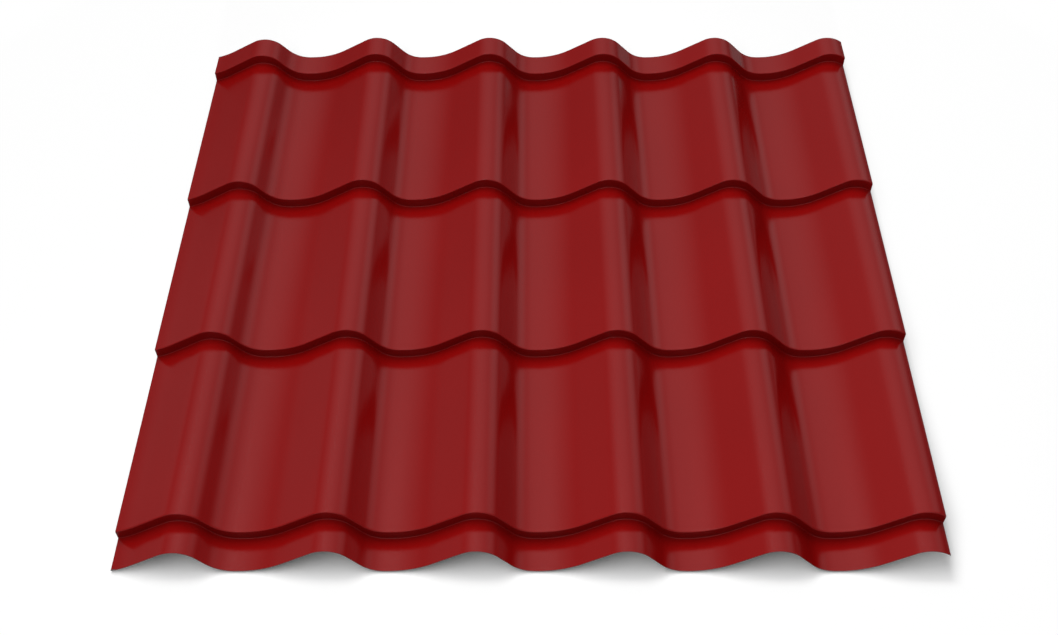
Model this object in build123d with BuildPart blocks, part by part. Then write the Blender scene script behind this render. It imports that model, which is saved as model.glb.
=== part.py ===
"""Tile effect metal roofing sheet: one roll-formed and step-pressed steel panel.

The sheet lies as on a level roof deck. X runs across the waves, +Y goes up the roof
towards the ridge and +Z points away from the roof. The origin is the bottom centre of
the sheet's own box. Lengths are millimetres, and wave and step sizes are those of the
top skin.
"""
from build123d import *
from math import atan, cos, radians, sin, tan
import os

# Steel
gauge = 0.5              # sheet thickness with its coating
bend_radius = 0.8        # inside radius of the pressed bends at the nose and foot of a step

# Waves, across the sheet
wave_count = 6           # crests on one sheet
wave_height = 43.4       # crest above trough
trough_land = 4.4        # flat strip along the bottom of each trough
gentle_run = 121.6       # from a land up to the crest on its right
steep_run = 79.0         # from a crest down to the land on its right
gentle_angle = 29.2      # slope of the long flank, degrees
steep_angle = 45.4       # slope of the short flank, degrees
crest_radius = 42.0      # over the crest, the hollows take the radii that close the wave
underlap_width = 89.3    # first crest to the edge that lies under the next sheet
overlap_width = 26.3     # last crest to the edge that lies over the next sheet
underlap_drop = 3.7      # the first wave is pressed lower, to nest under its neighbour

# Tile courses, along the sheet
module_length = 350.0    # one tile course, which is also the batten spacing
module_count = 3         # full courses between the first step and the last
step_height = 20.8       # height of each pressed step
step_undercut = 5.3      # how far the foot of a step stands behind its nose
eaves_strip = 53.0       # eaves edge to the first nose
ridge_strip = 53.4       # last nose to the ridge edge

# What follows from them
wave_pitch = trough_land + gentle_run + steep_run
sheet_width = underlap_width + (wave_count - 1) * wave_pitch + overlap_width
sheet_length = eaves_strip + module_count * module_length + ridge_strip
first_crest = underlap_width - sheet_width / 2
first_nose = eaves_strip - sheet_length / 2
course_fall = step_height / (module_length + step_undercut)
stock = module_length / 10      # what both blocks have beyond the trimmed sheet


def hollow_radius(run, rise, slope):
    """Radius that turns a land into a flank of this slope, which then meets the crest."""
    return (run - rise / tan(slope)) / tan(slope / 2) - crest_radius


def wave_corners(inset):
    """Corners of the waves, and the radius at each, for a skin this far below the top one.

    A corner is where two straight runs would meet if there were no bend between them.
    """
    gentle, steep = radians(gentle_angle), radians(steep_angle)
    top_radius = crest_radius - inset
    corners, radii = [], []
    for n in range(wave_count):
        drop = underlap_drop if n == 0 else 0.0
        crest_x = first_crest + n * wave_pitch
        crest_centre = wave_height - drop - crest_radius
        trough_radius = hollow_radius(gentle_run, wave_height, gentle) + inset
        foot_radius = hollow_radius(steep_run, wave_height - drop, steep) + inset
        spread = top_radius / (1 + cos(gentle + steep))
        crest_aside = spread * (sin(steep) - sin(gentle))
        crest_above = spread * (cos(steep) + cos(gentle))
        corners += [
            (crest_x - gentle_run + trough_radius * tan(gentle / 2), -inset - drop),
            (crest_x + crest_aside, crest_centre + crest_above),
            (crest_x + steep_run - foot_radius * tan(steep / 2), -inset),
        ]
        radii += [trough_radius, top_radius, foot_radius]
    left = min(-sheet_width / 2, first_crest - gentle_run) - stock
    right = max(sheet_width / 2, first_crest + wave_count * wave_pitch) + stock
    return [(left, corners[0][1]), *corners, (right, corners[-1][1])], radii


def course_corners(setback):
    """Side view of the tile courses, with every step set back from the top skin's."""
    corners = []
    for n in range(module_count + 1):
        nose = first_nose + n * module_length + setback
        lift = -course_fall * setback
        corners += [(nose + step_undercut, lift), (nose, lift + step_height)]
    front, back = -sheet_length / 2 - stock, sheet_length / 2 + stock
    start = (front, corners[0][1] + course_fall * (corners[0][0] - front))
    end = (back, corners[-1][1] - course_fall * (back - corners[-1][0]))
    return [start, *corners, end]


def bend(before, corner, after, radius):
    """Both ends of the flat that a bend is broken into, which touches the bend's radius."""
    before, corner, after = Vector(*before), Vector(*corner), Vector(*after)
    turn = radians((corner - before).get_angle(after - corner))
    leg = radius * (tan(turn / 2) - tan(turn / 4))
    ends = [corner + (side - corner).normalized() * leg for side in (before, after)]
    return [(end.X, end.Y) for end in ends]


def pressed_block(inset, setback):
    """Everything below one skin: the stepped side view, carried along the waves."""
    corners, radii = wave_corners(inset)
    start_x, start_z = corners[0]
    steps = [(y, z + start_z) for y, z in course_corners(setback)]
    # the inside of the sheet's bend is on top at a foot and underneath at a nose
    bends = [bend_radius + inset, bend_radius + gauge - inset] * (module_count + 1)
    side = [steps[0]]
    for before, corner, after, radius in zip(steps, steps[1:], steps[2:], bends):
        side += bend(before, corner, after, radius)
    side.append(steps[-1])
    base = start_z - stock
    with BuildLine(Plane.XZ) as waves:
        FilletPolyline(*corners, radius=radii)
    with BuildPart() as block:
        with BuildSketch(Plane.YZ.offset(start_x)):
            with BuildLine():
                Polyline(*side, (side[-1][0], base), (side[0][0], base), close=True)
            make_face()
        # a fixed direction keeps every section parallel, as the press does
        sweep(path=waves.wires()[0], normal=(1, 0, 0), clean=False)
    return block.part


# The leaning step keeps the full gauge when its lower skin is moved straight back.
lean = atan(step_undercut / step_height)
step_setback = gauge / cos(lean) + gauge * tan(lean)

upper_block = pressed_block(0.0, 0.0)
lower_block = pressed_block(gauge, step_setback)

# The sheet is what lies between its two skins, sheared square to its width and length.
with BuildPart() as pressed:
    add(upper_block)
    add(lower_block, mode=Mode.SUBTRACT)
    with BuildSketch():
        Rectangle(sheet_width, sheet_length)
    extrude(amount=wave_height + step_height + stock, both=True, mode=Mode.INTERSECT)

# It is set down on the feet of its steps.
with BuildPart() as roofing_sheet:
    add(pressed.part.moved(Location((0, 0, -pressed.part.bounding_box().min.Z))))

roofing_sheet.part.label = "roofing_sheet"
os.makedirs("parts", exist_ok=True)
export_step(roofing_sheet.part, "parts/roofing_sheet.step")
print("width", sheet_width, "length", sheet_length, "volume cm3", roofing_sheet.part.volume / 1000)
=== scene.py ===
"""Tile effect metal roofing sheet on white studio paper.

One sheet of satin coated steel, roll formed into waves and pressed into tile steps. X runs
across the waves, +Y up the roof towards the ridge and +Z away from the roof. Lengths are metres.
"""
from collections import namedtuple
from math import atan, atan2, cos, hypot, radians, sin, tan

import bmesh
import bpy
from bpy.props import FloatProperty, FloatVectorProperty, IntProperty, PointerProperty
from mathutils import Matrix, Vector


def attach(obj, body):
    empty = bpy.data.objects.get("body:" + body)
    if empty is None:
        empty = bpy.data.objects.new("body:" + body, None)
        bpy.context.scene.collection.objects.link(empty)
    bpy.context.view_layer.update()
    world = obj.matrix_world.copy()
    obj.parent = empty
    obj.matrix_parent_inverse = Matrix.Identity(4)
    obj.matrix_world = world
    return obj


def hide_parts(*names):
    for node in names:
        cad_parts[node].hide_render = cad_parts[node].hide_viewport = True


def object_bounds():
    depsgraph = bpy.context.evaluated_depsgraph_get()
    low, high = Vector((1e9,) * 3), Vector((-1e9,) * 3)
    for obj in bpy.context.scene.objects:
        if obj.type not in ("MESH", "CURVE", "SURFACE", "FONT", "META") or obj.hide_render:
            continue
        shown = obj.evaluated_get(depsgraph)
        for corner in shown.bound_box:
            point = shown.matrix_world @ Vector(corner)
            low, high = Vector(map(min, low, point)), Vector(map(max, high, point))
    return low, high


bl_info = {
    "name": "Tile Effect Roofing Sheet",
    "version": (1, 0, 0),
    "blender": (4, 5, 0),
    "location": "View3D > Sidebar > Roofing",
    "description": "Presses a stepped and waved roofing sheet and sets it in a small studio",
    "category": "Object",
}

MM = 0.001
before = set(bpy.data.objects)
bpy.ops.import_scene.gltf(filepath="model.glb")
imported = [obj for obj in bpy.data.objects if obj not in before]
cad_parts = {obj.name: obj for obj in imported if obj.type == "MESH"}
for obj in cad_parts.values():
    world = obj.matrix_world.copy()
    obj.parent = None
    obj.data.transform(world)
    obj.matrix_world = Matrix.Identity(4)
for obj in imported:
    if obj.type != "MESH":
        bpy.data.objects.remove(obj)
CAD_LOW, CAD_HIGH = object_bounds()

# How finely each stretch of a wave is drawn
TROUGH_PIECES = 10
GENTLE_PIECES = 8
CREST_PIECES = 14
STEEP_PIECES = 5
FOOT_PIECES = 9

# How finely each stretch of a course is carried
STRIP_PIECES = 2
COURSE_PIECES = 9
RISER_PIECES = 3
BEND_PIECES = 6
EDGE_ROW = 1.5 * MM         # a short row keeps each bend's shading off the long flat beside it

# Finishes of the sheet, in the order of its materials
WEATHER_SIDE, UNDERSIDE, RIM = 0, 1, 2
RIM_TURN = radians(60)      # only the corners of the sheared rim turn by more than this

# Sockets of a Mix node that mixes colours
FACTOR, COLOUR_A, COLOUR_B, MIXED = 0, 6, 7, 2
WHITE = (1, 1, 1)

# The paper on the floor
PAPER_REACH = 8.0           # from the middle to each side
PAPER_GAP = 0.05 * MM       # below the feet that stand on it

# The softbox hangs to the left of the sheet, and is aimed past its right side, so that the
# left side isn't the brighter one
SOFTBOX_PLACE = Vector((-0.9, -0.5, 3.5))
SOFTBOX_AIM = Vector((2.5, -1.0, 0))

# Soft windows that the satin coat mirrors. The first four numbers are degrees: where the middle
# of a window is, and how far round it the window is bright and then fades out.
SoftWindow = namedtuple("SoftWindow", "bearing height bright_to fades_to strength")
OVERHEAD_WINDOW = SoftWindow(-1, 55, 5, 54, 0.53)
RIGHT_WINDOW = SoftWindow(35, 21, 2, 19, 0.38)
LEFT_WINDOW = SoftWindow(-46, 14, 2, 17, 0.20)
FRONT_WINDOW = SoftWindow(180, 40, 20, 85, 0.42)
BETWEEN_WINDOWS = 0.05      # what the coat mirrors where there is no window
ROOM_LIGHT = 0.16           # what the room sheds on the sheet and the paper


def srgb(code):
    """Linear colour of an sRGB hex value."""
    parts = [int(code[start:start + 2], 16) / 255 for start in (0, 2, 4)]
    return tuple(part / 12.92 if part <= 0.04045 else ((part + 0.055) / 1.055) ** 2.4 for part in parts)


def length(name, description, default):
    """A length in metres."""
    return FloatProperty(
        name=name, description=description, default=default, min=0.0,
        subtype="DISTANCE", unit="LENGTH", precision=4)


def slope(name, description, default):
    """An angle, given in degrees."""
    return FloatProperty(
        name=name, description=description, default=radians(default),
        subtype="ANGLE", unit="ROTATION")


def colour(name, description, code):
    """A colour, given as its sRGB hex value."""
    return FloatVectorProperty(
        name=name, description=description, default=srgb(code), size=3, min=0.0, max=1.0,
        subtype="COLOR")


class SheetSizes(bpy.types.PropertyGroup):
    """Sizes of the pressed sheet, those of its top skin."""

    gauge: length("Gauge", "Thickness of the coated steel", 0.5 * MM)
    bend_radius: length("Bend radius", "Inside radius of the pressed bends", 0.8 * MM)
    wave_count: IntProperty(name="Waves", description="Crests on one sheet", default=6, min=1)
    wave_height: length("Wave height", "Crest above trough", 43.4 * MM)
    trough_land: length("Land", "Flat strip along the bottom of a trough", 4.4 * MM)
    gentle_run: length("Gentle run", "From a land up to its crest", 121.6 * MM)
    steep_run: length("Steep run", "From a crest down to the next land", 79.0 * MM)
    gentle_angle: slope("Gentle flank", "Slope of the long flank", 29.2)
    steep_angle: slope("Steep flank", "Slope of the short flank", 45.4)
    crest_radius: length("Crest radius", "Round of the crest", 42.0 * MM)
    underlap: length("Underlap", "First crest to the edge that the next sheet covers", 89.3 * MM)
    underlap_drop: length("Underlap drop", "How much lower the first wave is pressed", 3.7 * MM)
    course_count: IntProperty(name="Courses", description="Full tile courses", default=3, min=1)
    course: length("Course", "Nose to nose along the sheet", 350.0 * MM)
    step_height: length("Step", "Height of a pressed step", 20.8 * MM)
    step_undercut: length("Undercut", "How far a step's foot stands behind its nose", 5.3 * MM)
    eaves_strip: length("Eaves strip", "Eaves edge to the first nose", 53.0 * MM)


class SheetFinish(bpy.types.PropertyGroup):
    """Colours of the coatings."""

    top_coat: colour("Top coat", "Polyester coat on the weather side", "890808")
    back_coat: colour("Back coat", "Primer on the underside", "B9B7B6")
    cut_edge: colour("Cut edge", "Zinc and steel where the sheet was sheared", "8C8A89")


class StudioSetup(bpy.types.PropertyGroup):
    """Paper, softbox and camera."""

    floor: colour("Floor", "Paper on the studio floor", "C8C8C8")
    softbox_length: length("Softbox length", "Up the roof, along the crests", 6.4)
    softbox_width: length("Softbox width", "Across the crests, on its slant", 1.8)
    softbox_power: FloatProperty(
        name="Softbox power", description="Watts of light", default=198.0, min=0.0, unit="POWER")
    camera_side: length("Camera offset", "To the right of the sheet's middle", 0.5 * MM)
    camera_back: length("Camera distance", "In front of the eaves edge", 1402 * MM)
    camera_up: length("Camera height", "Above the floor", 1883.4 * MM)
    camera_tilt: slope("Camera tilt", "Below the horizon", 44.8)
    camera_lens: FloatProperty(
        name="Lens", description="Focal length on a 36 mm sensor", default=57.85, min=1.0)


# Drawing with a line's tip, and carrying a section

def draw_run(bm, tip, along, pieces):
    """Extrudes the tip of a line along a straight run of equal pieces."""
    for _ in range(pieces):
        tip = bmesh.ops.extrude_vert_indiv(bm, verts=[tip])["verts"][0]
        tip.co += along / pieces
    return tip


def draw_arc(bm, tip, to_centre, turn, pieces):
    """Spins the tip of a line about a centre, clockwise in the front view when turn is positive."""
    spun = bmesh.ops.spin(
        bm, geom=[tip], cent=tip.co + to_centre, axis=(0, 1, 0), angle=turn, steps=pieces)
    return spun["geom_last"][0]


def carry(bm, edges, step):
    """Extrudes the section's edges by one step and returns the section at its new place."""
    extruded = bmesh.ops.extrude_edge_only(bm, edges=edges)["geom"]
    new_verts = [part for part in extruded if isinstance(part, bmesh.types.BMVert)]
    new_edges = [part for part in extruded if isinstance(part, bmesh.types.BMEdge)]
    bmesh.ops.translate(bm, verts=new_verts, vec=step)
    moved = set(new_verts)
    return [edge for edge in new_edges if moved.issuperset(edge.verts)]


def carry_run(bm, edges, heading, distance, pieces):
    """Carries the section straight up the sheet in equal pieces, at this angle to the level."""
    step = Vector((0, cos(heading), sin(heading))) * (distance / pieces)
    for _ in range(pieces):
        edges = carry(bm, edges, step)
    return edges


def carry_bend(bm, edges, heading, turn, radius):
    """Carries the section round a bend by its chords."""
    part = turn / BEND_PIECES
    chord = 2 * radius * sin(abs(part) / 2)
    for _ in range(BEND_PIECES):
        edges = carry_run(bm, edges, heading + part / 2, chord, 1)
        heading += part
    return edges


# The sheet

def draw_waves(bm, size):
    """The waves as one line across the sheet, drawn from left to right at the eaves edge."""
    gentle, steep, crest = size.gentle_angle, size.steep_angle, size.crest_radius
    first_crest = CAD_LOW.x + size.underlap

    def flank(run, rise, angle):
        """Hollow radius and straight length that bring a land up to the crest at this slope."""
        hollow = (run - rise / tan(angle)) / tan(angle / 2) - crest
        return hollow, (rise - (hollow + crest) * (1 - cos(angle))) / sin(angle)

    start_x = first_crest - size.gentle_run - size.trough_land
    tip = bm.verts.new((start_x, CAD_LOW.y, -size.underlap_drop))
    for wave in range(size.wave_count):
        drop = size.underlap_drop if wave == 0 else 0.0
        trough, gentle_length = flank(size.gentle_run, size.wave_height, gentle)
        foot, steep_length = flank(size.steep_run, size.wave_height - drop, steep)
        up_flank = Vector((cos(gentle), 0, sin(gentle))) * gentle_length
        down_flank = Vector((cos(steep), 0, -sin(steep))) * steep_length
        under_crest = Vector((sin(gentle), 0, -cos(gentle))) * crest
        over_foot = Vector((sin(steep), 0, cos(steep))) * foot
        tip = draw_run(bm, tip, Vector((size.trough_land, 0, 0)), 1)
        tip = draw_arc(bm, tip, Vector((0, 0, trough)), -gentle, TROUGH_PIECES)
        tip = draw_run(bm, tip, up_flank, GENTLE_PIECES)
        tip = draw_arc(bm, tip, under_crest, gentle + steep, CREST_PIECES)
        tip = draw_run(bm, tip, down_flank, STEEP_PIECES)
        tip = draw_arc(bm, tip, over_foot, -steep, FOOT_PIECES)
    return bm.edges[:]


def press_steps(bm, edges, size):
    """Carries the waves up the sheet, over the steps of every course."""
    fall = atan(size.step_height / (size.course + size.step_undercut))
    riser = atan2(size.step_height, -size.step_undercut)
    turn = riser + fall
    foot_leg = size.bend_radius * tan(turn / 2)
    nose_radius = size.bend_radius + size.gauge
    nose_leg = nose_radius * tan(turn / 2)
    ridge_strip = CAD_HIGH.y - CAD_LOW.y - size.eaves_strip - size.course_count * size.course
    eaves_flat = (size.eaves_strip + size.step_undercut) / cos(fall) - foot_leg
    course_flat = (size.course + size.step_undercut) / cos(fall) - foot_leg - nose_leg
    riser_flat = hypot(size.step_height, size.step_undercut) - foot_leg - nose_leg
    ridge_flat = ridge_strip / cos(fall) - nose_leg

    def carry_flat(edges, distance, pieces):
        edges = carry_run(bm, edges, -fall, EDGE_ROW, 1)
        edges = carry_run(bm, edges, -fall, distance - 2 * EDGE_ROW, pieces)
        return carry_run(bm, edges, -fall, EDGE_ROW, 1)

    edges = carry_flat(edges, eaves_flat, STRIP_PIECES)
    for course in range(size.course_count + 1):
        edges = carry_bend(bm, edges, -fall, turn, size.bend_radius)
        edges = carry_run(bm, edges, riser, riser_flat, RISER_PIECES)
        edges = carry_bend(bm, edges, riser, -turn, nose_radius)
        if course < size.course_count:
            edges = carry_flat(edges, course_flat, COURSE_PIECES)
    carry_flat(edges, ridge_flat, STRIP_PIECES)


def shear_sides(bm):
    """Cuts both sides straight through the waves, at the sheet's full width."""
    for x, outward in ((CAD_LOW.x, -1), (CAD_HIGH.x, 1)):
        bmesh.ops.bisect_plane(
            bm, geom=bm.verts[:] + bm.edges[:] + bm.faces[:], dist=1e-7,
            plane_co=(x, 0, 0), plane_no=(outward, 0, 0), clear_outer=True)


def face_the_weather(bm):
    """Turns every face of the skin upwards."""
    bmesh.ops.recalc_face_normals(bm, faces=bm.faces[:])
    if sum(face.normal.z for face in bm.faces) < 0:
        bmesh.ops.reverse_faces(bm, faces=bm.faces[:])


def give_gauge(bm, gauge):
    """Thickens the skin below, and gives the weather side, the underside and the rim their finish."""
    weather_side = bm.faces[:]
    bmesh.ops.solidify(bm, geom=weather_side, thickness=gauge)
    bm.normal_update()
    for face in bm.faces:
        face.smooth = True
        face.material_index = UNDERSIDE
    for face in weather_side:
        face.material_index = WEATHER_SIDE
    for edge in bm.edges:
        if len(edge.link_faces) == 2 and edge.calc_face_angle() > RIM_TURN:
            edge.smooth = False
    # the rim is what stands square to both skins
    for face in bm.faces:
        if sum(not edge.smooth for edge in face.edges) >= 2:
            face.material_index = RIM


def finish_mesh(bm, name, materials):
    """Makes the bmesh an object with these materials, which sits at the origin."""
    mesh = bpy.data.meshes.new(name)
    bm.to_mesh(mesh)
    bm.free()
    for material in materials:
        mesh.materials.append(material)
    piece = bpy.data.objects.new(name, mesh)
    bpy.context.scene.collection.objects.link(piece)
    return piece


# Materials

def add(tree, kind, inputs=None, **settings):
    """Adds a node with its settings, and links or sets its inputs."""
    node = tree.nodes.new(kind)
    for key, value in settings.items():
        setattr(node, key, value)
    for key, value in (inputs or {}).items():
        if isinstance(value, bpy.types.NodeSocket):
            tree.links.new(value, node.inputs[key])
        else:
            node.inputs[key].default_value = value
    return node


def shade(tint, factor=1.0):
    """The tint at this many times its brightness, opaque."""
    return (*[part * factor for part in tint], 1)


def ray_kinds(tree):
    """Whether the eye looks along a ray, bare or through glass, and whether the ray is a glossy one."""
    path = add(tree, "ShaderNodeLightPath").outputs
    eye = add(tree, "ShaderNodeMath", {
        0: path["Is Camera Ray"], 1: path["Is Transmission Ray"]}, operation="MAXIMUM")
    return eye.outputs["Value"], path["Is Glossy Ray"]


def new_material(name):
    """A material without nodes, and its node tree."""
    material = bpy.data.materials.new(name)
    material.use_nodes = True
    material.node_tree.nodes.clear()
    return material, material.node_tree


def polyester_coil_coat(tint):
    """Satin polyester paint, roller coated and stoved on galvanised coil: an even colour
    with a soft sheen, a faint orange peel and a fine grain in its matting agent."""
    material, tree = new_material("satin_polyester_coil_coat")
    place = add(tree, "ShaderNodeTexCoord").outputs["Object"]
    # pigment grain is a tenth of a millimetre, drawn at 2 mm so that it shows
    grain_size = 2 * MM
    grain = add(tree, "ShaderNodeTexNoise", {
        "Vector": place, "Scale": 1 / grain_size, "Detail": 3.0, "Roughness": 0.6})
    mottle = add(tree, "ShaderNodeMix", {
        FACTOR: grain.outputs["Fac"], COLOUR_A: shade(tint, 0.90), COLOUR_B: shade(tint, 1.06)},
        data_type="RGBA")
    # the tone drifts by a few percent from one stretch of the coil to the next
    cloud_size = 180 * MM
    cloud = add(tree, "ShaderNodeTexNoise", {
        "Vector": place, "Scale": 1 / cloud_size, "Detail": 2.0})
    cloudy = add(tree, "ShaderNodeMix", {
        FACTOR: cloud.outputs["Fac"], COLOUR_A: shade(WHITE, 0.94), COLOUR_B: shade(WHITE, 1.05)},
        data_type="RGBA")
    tone = add(tree, "ShaderNodeMix", {
        FACTOR: 1.0, COLOUR_A: mottle.outputs[MIXED], COLOUR_B: cloudy.outputs[MIXED]},
        data_type="RGBA", blend_type="MULTIPLY")
    sheen = add(tree, "ShaderNodeMapRange", {
        "Value": grain.outputs["Fac"], "To Min": 0.16, "To Max": 0.22})
    # orange peel of a roller coat, about 4 mm from crest to crest and a few microns deep
    peel_size = 4 * MM
    peel_depth = 0.01 * MM
    peel = add(tree, "ShaderNodeTexNoise", {
        "Vector": place, "Scale": 1 / peel_size, "Detail": 1.0})
    skin = add(tree, "ShaderNodeBump", {
        "Height": peel.outputs["Fac"], "Strength": 0.25, "Distance": peel_depth})
    paint = add(tree, "ShaderNodeBsdfPrincipled", {
        "Base Color": tone.outputs[MIXED], "Roughness": sheen.outputs["Result"], "IOR": 1.5,
        "Normal": skin.outputs["Normal"]})
    add(tree, "ShaderNodeOutputMaterial", {"Surface": paint.outputs["BSDF"]})
    return material


def epoxy_back_coat(tint):
    """Thin grey epoxy primer on the underside: flat and slightly uneven, as it is never on show."""
    material, tree = new_material("grey_epoxy_back_coat")
    place = add(tree, "ShaderNodeTexCoord").outputs["Object"]
    # roller streaks run along the coil, about 6 mm apart and a dozen times as long
    streak_spacing = 6 * MM
    streak_place = add(tree, "ShaderNodeMapping", {"Vector": place, "Scale": (1, 0.08, 1)})
    streak = add(tree, "ShaderNodeTexNoise", {
        "Vector": streak_place.outputs["Vector"], "Scale": 1 / streak_spacing, "Detail": 3.0})
    tone = add(tree, "ShaderNodeMix", {
        FACTOR: streak.outputs["Fac"], COLOUR_A: shade(tint, 0.90), COLOUR_B: shade(tint, 1.05)},
        data_type="RGBA")
    primer = add(tree, "ShaderNodeBsdfPrincipled", {
        "Base Color": tone.outputs[MIXED], "Roughness": 0.6, "IOR": 1.5})
    add(tree, "ShaderNodeOutputMaterial", {"Surface": primer.outputs["BSDF"]})
    return material


def sheared_steel(tint):
    """The guillotined rim: steel core between two skins of zinc, dull and slightly torn."""
    material, tree = new_material("sheared_galvanised_steel")
    place = add(tree, "ShaderNodeTexCoord").outputs["Object"]
    # shear marks stand a quarter of a millimetre apart
    mark_spacing = 0.25 * MM
    tear = add(tree, "ShaderNodeTexNoise", {
        "Vector": place, "Scale": 1 / mark_spacing, "Detail": 2.0})
    rough = add(tree, "ShaderNodeMapRange", {
        "Value": tear.outputs["Fac"], "To Min": 0.35, "To Max": 0.6})
    metal = add(tree, "ShaderNodeBsdfPrincipled", {
        "Base Color": shade(tint), "Metallic": 0.8, "Roughness": rough.outputs["Result"]})
    add(tree, "ShaderNodeOutputMaterial", {"Surface": metal.outputs["BSDF"]})
    return material


def studio_paper(tint):
    """Seamless white paper: the camera sees it lifted to white, with the sheet's shadow kept close to
    it and painted out with white light beside it and in front of it.
    """
    material, tree = new_material("white_studio_paper")
    place = add(tree, "ShaderNodeTexCoord").outputs["Object"]
    axes = add(tree, "ShaderNodeSeparateXYZ", {0: place}).outputs
    bleached = add(tree, "ShaderNodeBsdfDiffuse", {"Color": shade(WHITE)})
    glow = add(tree, "ShaderNodeEmission", {"Color": shade(WHITE), "Strength": 0.04})
    lifted = add(tree, "ShaderNodeAddShader", {
        0: bleached.outputs["BSDF"], 1: glow.outputs["Emission"]})
    white = add(tree, "ShaderNodeEmission", {"Color": shade(WHITE), "Strength": 1.0})
    # away from the sheet the paper sweeps up into the white of the room
    away = add(tree, "ShaderNodeVectorMath", {0: place}, operation="LENGTH")
    sweep = add(tree, "ShaderNodeMapRange", {
        "Value": away.outputs["Value"], "From Min": 750 * MM, "From Max": 1200 * MM})
    # painted light: white is mixed into the paper beside the sheet, more towards the ridge, and fades
    # out its shadow there, leaving it mostly at the eaves
    side = add(tree, "ShaderNodeMath", {0: axes["X"]}, operation="ABSOLUTE")
    beside = add(tree, "ShaderNodeMapRange", {
        "Value": side.outputs["Value"],
        "From Min": CAD_HIGH.x - 5 * MM, "From Max": CAD_HIGH.x + 20 * MM})
    upward = add(tree, "ShaderNodeMapRange", {
        "Value": axes["Y"], "From Min": -450 * MM, "From Max": 50 * MM,
        "To Min": 0.45, "To Max": 0.9})
    painted_light_beside_sheet = add(tree, "ShaderNodeMath", {
        0: beside.outputs["Result"], 1: upward.outputs["Result"]}, operation="MULTIPLY")
    # painted light: white is mixed into the paper in front of the eaves, so that the shadow ends a
    # finger's width from the edge
    before = add(tree, "ShaderNodeMapRange", {
        "Value": axes["Y"], "From Min": CAD_LOW.y - 26 * MM, "From Max": CAD_LOW.y - 10 * MM,
        "To Min": 0.9, "To Max": 0.0})
    painted_light_near_sheet = add(tree, "ShaderNodeMath", {
        0: before.outputs["Result"], 1: painted_light_beside_sheet.outputs["Value"]}, operation="MAXIMUM")
    backdrop_and_painted_light = add(tree, "ShaderNodeMath", {
        0: sweep.outputs["Result"], 1: painted_light_near_sheet.outputs["Value"]}, operation="MAXIMUM")
    # the camera sees the paper turn to white emission where the backdrop sweeps up and where white
    # light is painted beside and in front of the sheet
    swept = add(tree, "ShaderNodeMixShader", {
        0: backdrop_and_painted_light.outputs["Value"], 1: lifted.outputs["Shader"], 2: white.outputs["Emission"]})
    # the satin coat mirrors the paper dimly, and only the eye, bare or through glass, sees it bleached
    eye, glossy = ray_kinds(tree)
    paper = add(tree, "ShaderNodeBsdfDiffuse", {"Color": shade(tint)})
    dim = add(tree, "ShaderNodeBsdfDiffuse", {"Color": shade(tint, 0.4)})
    plain = add(tree, "ShaderNodeMixShader", {
        0: glossy, 1: paper.outputs["BSDF"], 2: dim.outputs["BSDF"]})
    shown = add(tree, "ShaderNodeMixShader", {
        0: eye, 1: plain.outputs["Shader"], 2: swept.outputs["Shader"]})
    add(tree, "ShaderNodeOutputMaterial", {"Surface": shown.outputs["Shader"]})
    return material


# The studio

def lay_paper(tint):
    """Lays the paper just below the sheet's feet."""
    bm = bmesh.new()
    bmesh.ops.create_grid(bm, x_segments=1, y_segments=1, size=PAPER_REACH)
    bmesh.ops.translate(bm, verts=bm.verts[:], vec=(0, 0, CAD_LOW.z - PAPER_GAP))
    return finish_mesh(bm, "studio_floor", [studio_paper(tint)])


def hang_softbox(studio):
    """One long softbox overhead, which the satin coat doesn't mirror."""
    key = bpy.data.lights.new("key_softbox", "AREA")
    key.shape = "RECTANGLE"
    key.size = studio.softbox_length
    key.size_y = studio.softbox_width
    key.energy = studio.softbox_power
    holder = bpy.data.objects.new("key_softbox", key)
    holder.location = SOFTBOX_PLACE
    holder.rotation_euler = (SOFTBOX_PLACE - SOFTBOX_AIM).to_track_quat("Z", "Y").to_euler()
    holder.visible_glossy = False
    bpy.context.scene.collection.objects.link(holder)


def toward(window):
    """Direction of a window's middle, with bearings from the ridge side towards the right."""
    bearing, height = radians(window.bearing), radians(window.height)
    return Vector((sin(bearing) * cos(height), cos(bearing) * cos(height), sin(height)))


def white_room():
    """A room that is white to the eye, sheds an even light and shows the coat its soft windows."""
    world = bpy.data.worlds.new("white_studio")
    world.use_nodes = True
    tree = world.node_tree
    tree.nodes.clear()
    look = add(tree, "ShaderNodeTexCoord").outputs["Generated"]
    mirrored = BETWEEN_WINDOWS
    for window in (OVERHEAD_WINDOW, RIGHT_WINDOW, LEFT_WINDOW, FRONT_WINDOW):
        near = add(tree, "ShaderNodeVectorMath", {0: look, 1: toward(window)}, operation="DOT_PRODUCT")
        angle = add(tree, "ShaderNodeMath", {0: near.outputs["Value"]}, operation="ARCCOSINE")
        pane = add(tree, "ShaderNodeMapRange", {
            "Value": angle.outputs["Value"],
            "From Min": radians(window.bright_to), "From Max": radians(window.fades_to),
            "To Min": window.strength, "To Max": 0.0}, interpolation_type="SMOOTHSTEP")
        both = add(tree, "ShaderNodeMath", {0: pane.outputs["Result"], 1: mirrored}, operation="ADD")
        mirrored = both.outputs["Value"]
    eye, glossy = ray_kinds(tree)
    room = add(tree, "ShaderNodeBackground", {"Color": shade(WHITE), "Strength": ROOM_LIGHT})
    windows = add(tree, "ShaderNodeBackground", {"Color": shade(WHITE), "Strength": mirrored})
    white = add(tree, "ShaderNodeBackground", {"Color": shade(WHITE), "Strength": 1.0})
    lit = add(tree, "ShaderNodeMixShader", {
        0: glossy, 1: room.outputs["Background"], 2: windows.outputs["Background"]})
    shown = add(tree, "ShaderNodeMixShader", {
        0: eye, 1: lit.outputs["Shader"], 2: white.outputs["Background"]})
    add(tree, "ShaderNodeOutputWorld", {"Surface": shown.outputs["Shader"]})
    return world


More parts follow.
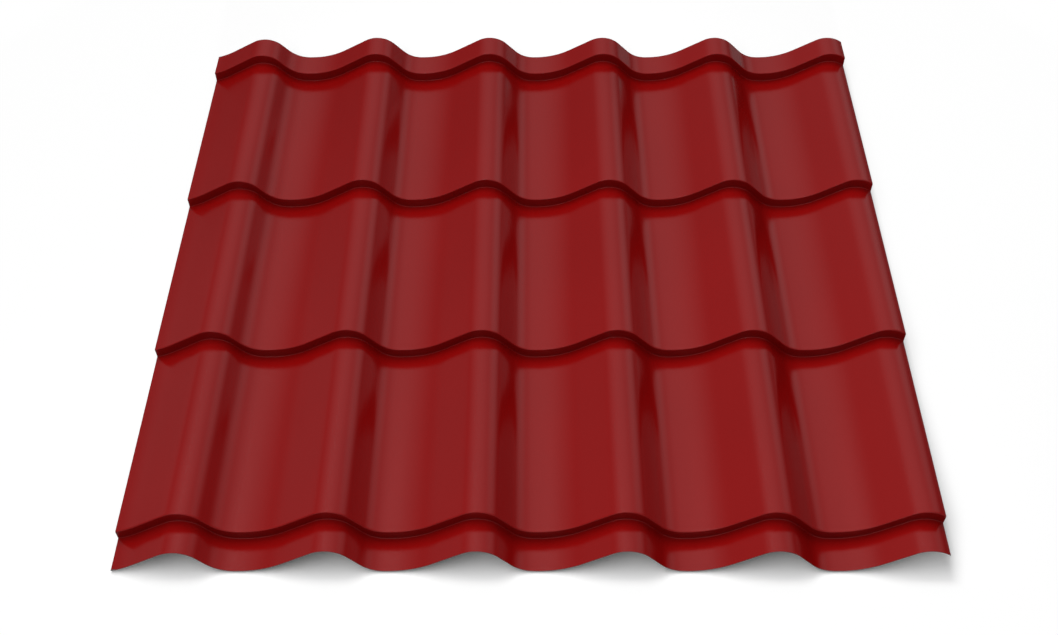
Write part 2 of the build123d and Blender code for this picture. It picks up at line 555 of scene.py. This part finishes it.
def stand_camera(studio):
    """The camera in front of the eaves, which looks down on the sheet."""
    camera = bpy.data.cameras.new("studio_camera")
    camera.sensor_width = 36.0
    camera.lens = studio.camera_lens
    camera.clip_start = 0.05
    camera.clip_end = 50.0
    stand = bpy.data.objects.new("studio_camera", camera)
    stand.location = (studio.camera_side, CAD_LOW.y - studio.camera_back, CAD_LOW.z + studio.camera_up)
    stand.rotation_euler = (radians(90) - studio.camera_tilt, 0, 0)
    bpy.context.scene.collection.objects.link(stand)
    return stand


# The add-on

class ROOFING_OT_press_sheet(bpy.types.Operator):
    """Roll forms the waves, presses the tile steps and shears the sheet to size"""

    bl_idname = "roofing.press_sheet"
    bl_label = "Press Sheet"
    bl_options = {"REGISTER", "UNDO"}

    def execute(self, context):
        size, finish = context.scene.sheet_sizes, context.scene.sheet_finish
        bm = bmesh.new()
        press_steps(bm, draw_waves(bm, size), size)
        shear_sides(bm)
        face_the_weather(bm)
        give_gauge(bm, size.gauge)
        lowest = min(vert.co.z for vert in bm.verts)
        bmesh.ops.translate(bm, verts=bm.verts[:], vec=(0, 0, CAD_LOW.z - lowest))
        sheet = finish_mesh(bm, "pressed_sheet", [
            polyester_coil_coat(finish.top_coat),
            epoxy_back_coat(finish.back_coat),
            sheared_steel(finish.cut_edge),
        ])
        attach(sheet, "root")
        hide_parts("roofing_sheet")
        return {"FINISHED"}


class ROOFING_OT_set_studio(bpy.types.Operator):
    """Lays the paper, hangs the softbox, makes the white room and sets up the camera"""

    bl_idname = "roofing.set_studio"
    bl_label = "Set Studio"
    bl_options = {"REGISTER", "UNDO"}

    def execute(self, context):
        scene, studio = context.scene, context.scene.studio_setup
        lay_paper(studio.floor)
        hang_softbox(studio)
        scene.world = white_room()
        scene.camera = stand_camera(studio)
        scene.view_settings.view_transform = "Standard"
        return {"FINISHED"}


class ROOFING_PT_sheet(bpy.types.Panel):
    """Sizes and colours of the roofing sheet and its studio, with their operators"""

    bl_label = "Roofing Sheet"
    bl_idname = "ROOFING_PT_sheet"
    bl_space_type = "VIEW_3D"
    bl_region_type = "UI"
    bl_category = "Roofing"

    def draw(self, context):
        rows = (
            ("sheet_sizes", None),
            ("sheet_finish", ROOFING_OT_press_sheet),
            ("studio_setup", ROOFING_OT_set_studio),
        )
        for group, operator in rows:
            box = self.layout.box()
            values = getattr(context.scene, group)
            for key in values.__annotations__:
                box.prop(values, key)
            if operator:
                box.operator(operator.bl_idname)


CLASSES = (
    SheetSizes,
    SheetFinish,
    StudioSetup,
    ROOFING_OT_press_sheet,
    ROOFING_OT_set_studio,
    ROOFING_PT_sheet,
)
GROUPS = {
    "sheet_sizes": SheetSizes,
    "sheet_finish": SheetFinish,
    "studio_setup": StudioSetup,
}


def register():
    for cls in CLASSES:
        bpy.utils.register_class(cls)
    for name, group in GROUPS.items():
        setattr(bpy.types.Scene, name, PointerProperty(type=group))


def unregister():
    for name in GROUPS:
        delattr(bpy.types.Scene, name)
    for cls in reversed(CLASSES):
        bpy.utils.unregister_class(cls)


def main():
    register()
    bpy.ops.roofing.press_sheet()
    bpy.ops.roofing.set_studio()


if __name__ == "__main__":
    main()
